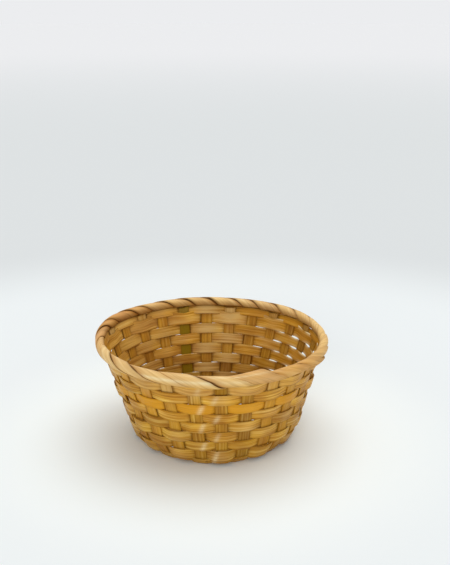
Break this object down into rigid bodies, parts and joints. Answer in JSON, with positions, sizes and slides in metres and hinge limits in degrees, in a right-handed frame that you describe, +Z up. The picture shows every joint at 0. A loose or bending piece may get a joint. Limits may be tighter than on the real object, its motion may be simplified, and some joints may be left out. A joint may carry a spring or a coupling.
{
  "type": "woven basket",
  "caption": "Round open basket woven from split bamboo, with a square woven base, flaring wall and a rolled border of folded stake ends.",
  "frame": {"origin": "on the surface that the basket stands on, under the middle of the base", "axes": "+Z up out of the basket's mouth; the seven lengthwise base strips run along X and the six crosswise ones along Y"},
  "size_m": [0.21, 0.209, 0.0949],
  "materials": {
    "stake_bamboo": "satin split bamboo",
    "green_bamboo": "satin split bamboo with green skin left on",
    "weaver_bamboo": "satin split bamboo",
    "amber_bamboo": "satin amber-stained split bamboo",
    "hoop_bamboo": "matt split bamboo"
  },
  "bodies": {
    "root": {"lengthwise_strip_1": "stake_bamboo", "lengthwise_strip_2": "stake_bamboo", "lengthwise_strip_3": "stake_bamboo", "lengthwise_strip_4": "stake_bamboo", "lengthwise_strip_5": "stake_bamboo", "lengthwise_strip_6": "green_bamboo", "lengthwise_strip_7": "stake_bamboo", "crosswise_strip_1": "stake_bamboo", "crosswise_strip_2": "stake_bamboo", "crosswise_strip_3": "stake_bamboo", "crosswise_strip_4": "stake_bamboo", "crosswise_strip_5": "stake_bamboo", "crosswise_strip_6": "stake_bamboo", "foot_weaver": "weaver_bamboo", "weaver_row_1": "weaver_bamboo", "weaver_row_2": "weaver_bamboo", "weaver_row_3": "weaver_bamboo", "weaver_row_4": "weaver_bamboo", "weaver_row_5": "weaver_bamboo", "weaver_row_6": "amber_bamboo", "weaver_row_7": "weaver_bamboo", "weaver_row_8": "weaver_bamboo", "top_weaver": "weaver_bamboo", "border_hoop": "hoop_bamboo"}
  },
  "joints": []
}
